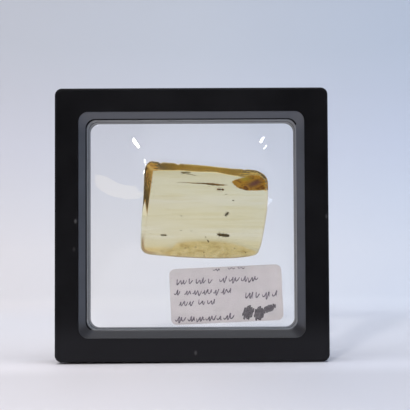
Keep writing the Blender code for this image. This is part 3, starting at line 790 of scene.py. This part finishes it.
fly = body([(-1.05, 0.05, 0.05), (-0.9, 0.18, 0.18), (-0.5, 0.29, 0.28), (-0.12, 0.26, 0.26),
            (0.02, 0.15, 0.17), (0.14, 0.32, 0.34), (0.44, 0.36, 0.38), (0.68, 0.22, 0.24),
            (0.74, 0.11, 0.12), (0.8, 0.28, 0.25), (1.00, 0.32, 0.27), (1.17, 0.1, 0.1)],
           bands=5.0)
wings = [(wing((0.36, side * 0.15, 0), (-1.3, side * 0.74, 0), 0.62, 0.3 + 0.05 * side), 1)
         for side in (-1, 1)]
legs = [([(u, 0.12, -0.16), (u + du * 0.5, 0.6, -0.4), (u + du, out, -0.16)], [0.06, 0.05, 0.03])
        for u, du, out in ((0.52, 0.4, 0.92), (0.36, -0.05, 1.04), (0.22, -0.55, 0.94))]
insect("fly_body", "fly", (14.2, 59.2, 48.0), [(fly, 0)] + wings + pairs(legs),
       (fly_skin, wing_skin))

gnat = body([(-2.1, 0.04, 0.04, -0.06), (-1.9, 0.15, 0.15, -0.05), (-1.3, 0.24, 0.23, 0),
             (-0.6, 0.25, 0.24, 0.02), (0.1, 0.2, 0.2, 0.03), (0.28, 0.16, 0.17, 0.03),
             (0.44, 0.33, 0.34, 0.05), (0.9, 0.4, 0.4, 0.06), (1.3, 0.26, 0.28, 0.02),
             (1.38, 0.13, 0.14, -0.02), (1.46, 0.25, 0.23, -0.05), (1.72, 0.29, 0.25, -0.06),
             (1.93, 0.08, 0.08, -0.08)], bands=3.0)
wings = [(wing((0.8, side * 0.18, 0), (-1.55, side * 0.58, 0), 0.62, 0.27 + 0.04 * side), 1)
         for side in (-1, 1)]
feeler = [(1.8, 0.06, 0.1), (2.16, 0.26, 0.2), (2.52, 0.34, 0.22)], [0.05, 0.04, 0.03]
foreleg = [(1.02, 0.2, -0.12), (1.36, 0.66, -0.36), (1.98, 0.82, -0.2)], [0.06, 0.05, 0.03]
hind_legs = [
    (limb([(0.62, 0.16, -0.14), (-0.3, 0.62, -0.34), (-2.3, 0.66, -0.22), (-4.5, 1.3, -0.1)],
          [0.07, 0.07, 0.12, 0.08]), 0),
    (limb([(0.62, -0.14, -0.14), (-0.5, -0.72, -0.34), (-1.6, -0.92, -0.2)],
          [0.06, 0.05, 0.03]), 0)]
insect("gnat_body", "gnat", (-2.4, 76.2, 179.0),
       [(gnat, 0)] + wings + pairs([feeler, foreleg]) + hind_legs, (gnat_skin, wing_skin))


# ============================================================
# Plant debris: a long torn strand, a flake of bark in the upper right corner and loose
# grains, all soaked with resin and set fast in it.
# ============================================================
STRAND = [(-5.9, 72.25, 0.04, 0.04), (-2.5, 72.2, 0.08, 0.1), (0.9, 71.95, 0.16, 0.16),
          (4.9, 71.8, 0.26, 0.22), (8.7, 71.45, 0.44, 0.28), (11.7, 71.15, 0.3, 0.22),
          (14.7, 71.1, 0.05, 0.05)]      # X, Z, half height, half depth
FLAKE_T = 1.7
FLAKE_OUTLINE = [
    (16.74, 72.13), (17.23, 73.03), (18.25, 73.47), (19.68, 73.71), (21.11, 74.11),
    (22.54, 74.64), (24.58, 75.04), (27.03, 74.9), (29.0, 73.9), (30.2, 71.86), (30.2, 69.62),
    (28.66, 68.89), (26.21, 68.86), (23.76, 68.79), (21.31, 69.13), (19.27, 69.91),
    (17.63, 70.86)]
GRAINS = [      # place in X and Z, length, slant in degrees
    (5.57, 49.92, 0.75, 60), (6.62, 48.28, 1.3, 60), (-2.7, 45.51, 0.8, 10),
    (-1.6, 45.9, 0.6, 40), (1.51, 45.86, 0.9, 0), (4.81, 43.68, 0.8, 50), (4.96, 42.21, 0.7, 90),
    (17.39, 45.25, 0.7, 20), (16.2, 44.6, 0.5, 0), (21.74, 43.6, 0.9, 30), (27.77, 47.2, 0.6, 80),
    (26.28, 45.01, 0.5, 0), (16.92, 64.78, 0.9, 25), (13.99, 67.33, 0.7, 10),
    (-4.46, 52.66, 0.6, 0), (-0.26, 52.43, 0.6, 10), (-16.89, 51.41, 0.45, 0),
    (-4.28, 58.66, 0.7, 15), (-12.5, 44.3, 0.5, 0), (9.4, 46.9, 0.4, 30), (-16.0, 72.3, 0.5, 0),
    (7.2, 70.6, 0.5, 0), (20.9, 51.3, 0.4, 70), (-9.6, 61.4, 0.35, 0), (24.3, 57.6, 0.3, 20)]


def veiled(name, scale, distortion, stops, detail=3.0, **sockets):
    """A material whose colour runs through the stops with stretched noise, what adds its
    nodes, and its Object coordinates."""
    mat = new_material(name, **sockets)
    add, where = nodes_of(mat)
    tone = veil(add, where, scale, distortion, detail, stops)
    dress(mat, Base_Color=tone)
    return mat, add, where, tone


# Soaked fibre: brown, streaked along its length, dull, a little light passing through.
fibre, *_ = veiled("resin_soaked_fibre", (500.0, 2500.0, 5000.0), 0.4,
                   {0.3: "#74521a", 0.55: "#a67c30", 0.75: "#c4a050"},
                   Roughness=0.6, IOR=1.5, Alpha=0.8)
x, z, tall, deep = spline(STRAND, 160).T[..., None]
a = full_turn(20)
torn = 1 + 0.22 * np.sin(3.1 * x + 2 * a) + 0.12 * np.sin(11 * x + 3 * a)
rings = grid(x, deep * torn * np.sin(a), z + tall * torn * np.cos(a))
strand = build_mesh("plant_strand_fibres", *capped(rings), mats=(fibre,))
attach(strand, "root")
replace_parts(strand, "plant_strand")


def flake(name, outline, thick, mat):
    """A lens over a ragged outline: rings from its middle, half as thick at the rim, with
    both faces broken up by three crossed sets of ridges.  Its UV says where the bark has
    its purple-brown core and where it is olive."""
    loop = smooth_loop(outline, 160)
    mid = loop.mean(0)
    a = full_turn(160)
    ragged = 1 + 0.024 * np.sin(9 * a + 1) + 0.018 * np.sin(23 * a) + 0.01 * np.sin(41 * a + 2)
    share = np.sin(np.linspace(0.04, math.pi / 2, 34))[:, None]
    x, z = (mid[k] + share * ragged * (loop[:, k] - mid[k]) for k in (0, 1))
    ridges = (0.1 * np.sin(2.6 * x + 1.9 * z) + 0.07 * np.sin(5.3 * x - 4.1 * z + 1)
              + 0.05 * np.sin(9.7 * x + 8.3 * z))
    half = thick / 2 * np.sqrt(1 - 0.9 * share ** 2)
    rings = np.concatenate([grid(x, -half - ridges * half, z),
                            grid(x, half + 0.7 * ridges * half, z)[::-1]])
    points, quads, fans = capped(rings)
    ob = build_mesh(name, points, quads, fans, mats=(mat,))
    x, _, z = points.T
    core = ((x - 25.7) / 2.9) ** 2 + ((z - 71.7 - 0.3 * (x - 25.7)) / 1.2) ** 2
    green = bell(x - 21.8, 2.4) * bell(z - 73.6, 0.9)
    add_uv(ob, "stain", np.stack([np.exp(-core ** 1.5), green], -1))
    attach(ob, "root")
    return ob


# Bark: orange brown to olive, with a dull purple-brown core, grained and fairly rough.
bark, add, where, tone = veiled(
    "resin_soaked_bark", (230.0, 400.0, 400.0), 1.0,
    {0.3: "#543408", 0.4: "#a87018", 0.51: "#e8b848", 0.6: "#b4882e", 0.72: "#6a4a16"}, 4.0,
    Roughness=0.55, IOR=1.5, Specular_IOR_Level=0.3)
core, green, _ = add("SeparateXYZ", (add("UVMap", uv_map="stain"),)).node.outputs
for share, colour in ((green, "#ccbc44"), (core, "#8a5c58")):
    tone = add("Mix", (share, tone, colour), data_type="RGBA")
grain = veil(add, where, (1500.0, 1500.0, 2600.0), 0.5)
dress(bark, Base_Color=tone,
      Normal=add("Bump", {"Height": grain, "Strength": 0.6, "Distance": 0.0001}))
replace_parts(flake("bark_flake_lens", FLAKE_OUTLINE, FLAKE_T, bark), "bark_flake")


def crumb(k, x, z, size, slant):
    """The kth loose grain: a rounded spindle, 0.4 as wide and 0.32 as deep as it is long,
    lumpy by a quarter, at a depth that changes from grain to grain."""
    t = (np.linspace(0.05, 0.95, 9) * math.pi)[:, None]
    a = full_turn(10)
    bulge = size * np.sin(t) * (1 + 0.25 * np.sin(3 * a + k) * np.sin(2 * t + k))
    across, up = turned(-0.5 * size * np.cos(t), 0.2 * bulge * np.cos(a), -slant, x, z)
    return capped(grid(across, 0.16 * bulge * np.sin(a) + 1.6 * math.sin(2.4 * k), up))


# Wood dust and frass: dark brown crumbs.
grain_skin, *_ = veiled("debris_grain", (900.0, 900.0, 900.0), 0.2,
                        {0.3: "#20160a", 0.7: "#6a5020"}, Roughness=0.6, IOR=1.5)
grains = build_mesh("debris_grains", *join([(crumb(k, *g), 0) for k, g in enumerate(GRAINS)]),
                    (grain_skin,))
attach(grains, "root")


# ============================================================
# The label: a round-cornered slip of uncoated paper held between the films, with a few
# lines of fibre-pen strokes that spell nothing and one blot where a line is struck out.
# ============================================================
LABEL_AT, LABEL_TILT = (13.9, 26.35), 2.4      # middle in X and Z; degrees
PAPER_Y, INK_T = -0.102, 0.018                 # top of the paper, thickness of the ink
# Lines of writing: left, right, base, height, pen width, seed.
LINES = ((-20.2, -5.4, 5.9, 2.3, 0.42, 0.4), (-2.4, 13.6, 6.0, 2.4, 0.42, 1.9),
         (-21.2, -19.0, 1.5, 2.2, 0.42, 3.1), (-17.0, 3.4, 1.4, 2.3, 0.42, 4.2),
         (-19.4, -13.6, -3.0, 2.2, 0.42, 5.3), (-11.6, -4.8, -2.8, 2.2, 0.42, 0.9),
         (-21.2, 4.0, -9.3, 2.4, 0.5, 2.6), (7.8, 13.4, -0.8, 3.4, 0.46, 1.2),
         (14.8, 20.6, -0.9, 2.8, 0.44, 2.2), (-5.0, -1.4, 10.3, 0.8, 0.34, 2.2),
         (1.0, 8.0, 10.6, 0.6, 0.3, 0.2))
# Blots: middle, half length, half height, turn in degrees, passes of the pen.
BLOTS = (((8.6, -7.7), 2.3, 3.0, 0, 10), ((13.1, -8.3), 2.2, 3.0, 8, 10),
         ((17.2, -6.5), 3.2, 1.4, 24, 13))

# Paper: pinkish grey white, faintly mottled, with short fibres about 0.3 mm long.
paper, add, where, tone = veiled("uncoated_paper", (160.0, 160.0, 160.0), 0.3,
                                 {0.3: "#b1adb1", 0.7: "#bab6ba"}, 4.0,
                                 Roughness=0.8, IOR=1.5, Specular_IOR_Level=0.2)
flecks = veil(add, where, (2600.0, 2600.0, 4200.0), 1.5, 2.0, {0.28: "#e6e0e4", 0.42: "#ffffff"})
tooth = veil(add, where, (3200.0, 3200.0, 3200.0), 0.5)
dress(paper, Normal=add("Bump", {"Height": tooth, "Strength": 0.3, "Distance": 0.00003}),
      Base_Color=add("Mix", (1.0, tone, flecks), data_type="RGBA", blend_type="MULTIPLY"))
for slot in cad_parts["label"].material_slots:
    slot.material = paper


def pen_marks(left, right, base, height, seed):
    """Strokes that spell nothing: runs of uneven length, each one wave that leans to the
    right and swells and shrinks on its way; u and v from the label's middle."""
    marks, u, k = [], left, 0
    while u < right - 0.8:
        long = min(1.8 + 2.4 * abs(math.sin(1.9 * k + 3.1 * seed)), right - u)
        t = np.linspace(0, long, int(24 * long))
        phase = 2 * math.pi * (t / 1.35 + 0.12 * np.sin(2.1 * t + seed)) + seed
        tall = height * (0.3 + 0.08 * np.sin(2.7 * t + seed)
                         + 0.3 * np.maximum(0, np.sin(1.7 * t + 2 * seed + k)) ** 6)
        v = tall * np.sin(phase) + 0.12 * np.sin(1.3 * t + k)
        marks.append(np.stack([u + t + 0.28 * v + 0.1 * np.cos(phase), base + v], -1))
        u += long + 0.75 + 0.35 * math.sin(k + seed)
        k += 1
    return marks


def crossing_out(middle, long, short, turn, passes):
    """A blot: one stroke going to and fro across an ellipse from one end to the other."""
    t = np.linspace(-0.97, 0.97, passes * 14)
    swing = np.sin(math.pi * passes * t / 1.94) * np.sqrt(1 - t**2) * (0.86 + 0.14 * np.sin(9 * t))
    u, v = turned(long * t, short * swing, turn, *middle)
    return np.stack([u + 0.25 * short * swing, v], -1)


def ribbon(path, width):
    """A flat stroke along a path: a strip narrowed at both ends, that thickens by 0.02 mm
    on its way, so that it lies on top where it crosses itself."""
    step = unit(np.gradient(path, axis=0))
    t = np.linspace(0, 1, len(path))
    half = 0.5 * width * (0.35 + 0.65 * np.minimum(1, np.minimum(t, 1 - t) * 12))
    side = (half * (1 + 0.15 * np.sin(60 * t)))[:, None] * np.stack([-step[:, 1], step[:, 0]], -1)
    top = PAPER_Y - INK_T - 0.02 * t
    rings = []
    for edge, y in ((path + side, PAPER_Y), (path - side, PAPER_Y), (path - side, top),
                    (path + side, top)):
        x, z = turned(*edge.T, LABEL_TILT, *LABEL_AT)
        rings.append(grid(x, y, z))
    return capped(np.stack(rings, 1))


WRITING, BLOT = 0, 1
strokes = [(ribbon(path, width), WRITING) for *line, width, seed in LINES
           for path in pen_marks(*line, seed)]
for middle, long, short, turn, passes in BLOTS:
    across = crossing_out(middle, short * 0.94, long * 0.94, turn + 72, passes)
    strokes += [(ribbon(crossing_out(middle, long, short, turn, passes), 0.62), BLOT),
                (ribbon(across, 0.42), BLOT)]
# Ink: black-violet, soaked in and therefore uneven and dull; greyer where the pen went
# over wet paper again and again.
inks = [veiled(name, (900.0, 900.0, 900.0), 0.2, {0.3: low, 0.7: high},
               Roughness=0.7, IOR=1.5, Specular_IOR_Level=0.2)[0]
        for name, low, high in (("fibre_pen_ink", "#3e3943", "#7a727e"),
                                ("smeared_pen_ink", "#3c393e", "#625e64"))]
marks = build_mesh("label_pen_strokes", *join(strokes), inks, sharp=40)
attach(marks, "root")


# ============================================================
# Not part of the object: a pale floor that sweeps up all round, soft light, the camera.
# ============================================================
SPOKES, SWEEP_R = 128, 1.2      # points round the sweep; how far its shades reach, in m


def sweep(name):
    """A round floor that turns up into a wall: the profile of a flat, a quarter circle
    and an upright, turned about the vertical axis."""
    flat, bend, top = 0.55, 0.45, 1.9
    a = np.linspace(0, math.pi / 2, 24)[1:]
    r = np.concatenate([np.linspace(0.02, flat, 12), flat + bend * np.sin(a), [flat + bend] * 6])
    z = np.concatenate([np.zeros(12), bend * (1 - np.cos(a)), np.linspace(bend, top, 7)[1:]])
    turn, rows = full_turn(SPOKES), len(r)
    pts = grid(r[:, None] * np.cos(turn), r[:, None] * np.sin(turn), z[:, None])
    points = np.concatenate([pts.reshape(-1, 3), [[0, 0, 0]]]) * 1000
    points[:, 2] += 0.0045 * points[:, 0] - 0.5
    c = np.arange(SPOKES)
    fan = np.stack([c, (c + 1) % SPOKES, np.full(SPOKES, rows * SPOKES)], -1)

    mat = new_material(name, Roughness=0.6, Specular_IOR_Level=0.1)
    add, where = nodes_of(mat)
    across, depth, height = add("SeparateXYZ", (where,)).node.outputs
    centre = add("VectorMath", (where, (0.0, 0.08, 0.0)), operation="ADD")
    away = add("VectorMath", (centre,), operation="LENGTH")
    # painted shade: darker near the frame, and darker and bluer up the wall and far off, as the
    # light falls off
    pale = add("ValToRGB", (add("MapRange", (away, 0.0, SWEEP_R)),), {
        at / SWEEP_R: colour for at, colour in (
            (0.03, (0.67, 0.655, 0.685)), (0.1, (0.695, 0.68, 0.71)),
            (0.2, (0.735, 0.725, 0.755)), (0.35, (0.76, 0.755, 0.785)),
            (0.55, (0.82, 0.815, 0.83)), (0.82, (0.785, 0.785, 0.81)),
            (0.918, (0.72, 0.735, 0.78)), (0.994, (0.66, 0.68, 0.745)),
            (1.054, (0.61, 0.635, 0.695)), (1.1, (0.575, 0.61, 0.665)))})
    # painted warm light on the left and cool light on the right, nearby and far off
    spread = add("Math", (away, 0.21, 0.04), operation="MULTIPLY_ADD")
    part = add("MapRange", (add("Math", (across, spread), operation="DIVIDE"), -1.0, 1.0))
    low_tint = add("ValToRGB", (part,), {0.0: (0.98, 0.97, 0.955), 0.25: (0.985, 0.975, 0.965),
                                         0.5: (0.955, 0.96, 0.96), 1.0: (0.83, 0.865, 0.905)})
    high_tint = add("ValToRGB", (part,), {0.0: (1.0, 0.96, 0.93), 0.5: (1.0, 1.0, 1.0),
                                          1.0: (0.885, 0.935, 1.0)})
    far = add("MapRange", (away, 0.3, 0.5))
    tint = add("Mix", (far, low_tint, high_tint), data_type="RGBA")
    both = add("Mix", (1.0, pale, tint), data_type="RGBA", blend_type="MULTIPLY")
    # a painted lighter strip under the frame and just in front of it: painted light over the shade
    # that falls at the frame's foot
    from_strip = add("Math", (add("Math", (depth, 0.016), operation="ADD"),), operation="ABSOLUTE")
    strip = add("MapRange", (from_strip, 0.036, 0.0, 0.0, 0.21), **EASED)
    sideways = add("Math", (across,), operation="ABSOLUTE")
    ends = add("MapRange", (sideways, 0.12, 0.065), **EASED)
    gain = add("Math", (strip, ends, 1.0), operation="MULTIPLY_ADD")
    both = add("VectorMath", (both, gain), operation="MULTIPLY")
    # painted dark low down in front: a painted unlit room for the frame's face to mirror
    level = add("VectorMath", (where, (1.0, 1.0, 0.0)), operation="MULTIPLY")
    radius = add("VectorMath", (level,), operation="LENGTH")
    dark = 1.0
    for value, low, high in ((add("Math", (depth, radius), operation="DIVIDE"), -0.5, -0.9),
                             (radius, 0.3, 0.65), (height, 0.95, 0.6)):
        share = add("MapRange", (value, low, high), **EASED)
        dark = add("Math", (dark, share), operation="MULTIPLY")
    dress(mat, Base_Color=add("Mix", (dark, both, (0.1, 0.1, 0.11, 1.0)), data_type="RGBA"))
    return build_mesh(name, points, ring_faces(rows, SPOKES), fan, mats=(mat,))


sweep("paper_sweep")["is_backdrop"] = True


def place(ob, right, up, back, at):
    """An object stood at a point, with its three axes."""
    bpy.context.collection.objects.link(ob)
    ob.matrix_world = Matrix([*np.stack([right, up, back, at], -1).tolist(), (0, 0, 0, 1)])


def rolled(right, up, degrees):
    """Two axes turned towards each other's place in their own plane."""
    c, s = math.cos(math.radians(degrees)), math.sin(math.radians(degrees))
    return c * right + s * up, c * up - s * right


def lamp(name, at, aim, size, watts, colour, hidden=False, lean=0.0, mirrored=True):
    """A rectangular light at a place, turned to face its aim; size is width and height,
    lean tips its height to the left.  A hidden one is seen in reflections only, and one
    that isn't mirrored only lights."""
    data = bpy.data.lights.new(name, "AREA")
    data.shape = "RECTANGLE"
    data.size, data.size_y, data.energy, data.color = *size, watts, linear(colour)[:3]
    ob = bpy.data.objects.new(name, data)
    to = unit(np.array(aim) - np.array(at))
    right = unit(np.cross(to, (0, 0, 1) if abs(to[2]) < 0.99 else (0, 1, 0)))
    place(ob, *rolled(right, np.cross(right, to), lean), -to, at)
    ob.visible_camera = ob.visible_transmission = not hidden
    ob.visible_glossy = mirrored
    return ob


def heading(azimuth, elevation):
    """A direction, azimuth counted from the front to the right, both in degrees."""
    a, e = math.radians(azimuth), math.radians(elevation)
    return np.array([math.sin(a) * math.cos(e), -math.cos(a) * math.cos(e), math.sin(e)])


MIDDLE = np.array((0.0, 0.0, 0.06))
lamp("overhead_softbox", (0.0, -0.1, 1.5), (0.0, 0.0, 0.0), (1.1, 1.1), 13.2, "#fdfdff")
lamp("key_light", MIDDLE + 0.92 * heading(-14.0, 22.8), MIDDLE, (0.05, 0.05), 3.8, "#fff8f0",
     hidden=True, mirrored=False)
# Small lamps, seen only as the glints on the films: each stands where the film mirrors
# it to the camera, and lights nothing else.
glossy_films = bpy.data.collections.new("glossy_films")
for skin_of_film in films:
    glossy_films.objects.link(skin_of_film)
for name, glint, azimuth, elevation, size, watts, colour, lean in (
        ("key_glint", (-0.0227, -0.0014, 0.089), -12.6, 22.7, (0.014, 0.04), 0.32,
         "#fffaf2", 48.0),
        ("right_glint_high", (0.0288, -0.0012, 0.0894), 10.2, 21.3, (0.012, 0.021), 0.065,
         "#f6f9ff", -32.0),
        ("right_glint_low", (0.0302, -0.0014, 0.0873), 14.2, 20.9, (0.01, 0.017), 0.045,
         "#f6f9ff", -32.0),
        ("left_glint", (-0.029, -0.0022, 0.0705), -24.2, 5.8, (0.04, 0.036), 0.02,
         "#ffebb2", 0.0),
        ("corner_glint", (-0.0191, -0.0034, 0.0802), -30.5, 28.8, (0.125, 0.026), 0.9,
         "#ffffff", 11.0),
        ("side_glint", (-0.0196, -0.0039, 0.0763), -35.0, 11.2, (0.045, 0.04), 0.5,
         "#ffffff", 0.0),
        ("edge_glint", (0.0315, -0.0038, 0.064), 43.5, 1.1, (0.01, 0.03), 0.008,
         "#dfeaff", 0.0)):
    at = np.array(glint) + 0.62 * heading(azimuth, elevation)
    lit = lamp(name, at, glint, size, watts, colour, True, lean)
    lit.light_linking.receiver_collection = glossy_films

world = bpy.data.worlds.new("room")
world.use_nodes = True
feed(world.node_tree.nodes["Background"], {"Color": "#f3f5fb", "Strength": 0.6})
bpy.context.scene.world = world

# The camera: its place, the way it looks and its roll; its focal length is 1048.9 times
# the width of a pixel where the picture is 410 pixels wide.
EYE, AZIMUTH, ELEVATION, ROLL = (0.00564, -0.43, 0.04684), -0.034, 2.159, -0.265
cam_data = bpy.data.cameras.new("camera")
cam_data.sensor_width, cam_data.lens = 36.0, 36.0 * 1048.9 / 410
cam_data.clip_start, cam_data.clip_end = 0.01, 20.0
camera = bpy.data.objects.new("camera", cam_data)
forward = heading(AZIMUTH, ELEVATION) * (1, -1, 1)
right = np.array([math.cos(math.radians(AZIMUTH)), -math.sin(math.radians(AZIMUTH)), 0.0])
place(camera, *rolled(right, np.cross(right, forward), ROLL), -forward, EYE)
bpy.context.scene.camera = camera
bpy.context.scene.view_settings.view_transform = "Standard"

size = {"cad": [list(c) for c in cad_box], "visual": [list(c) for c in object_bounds()]}
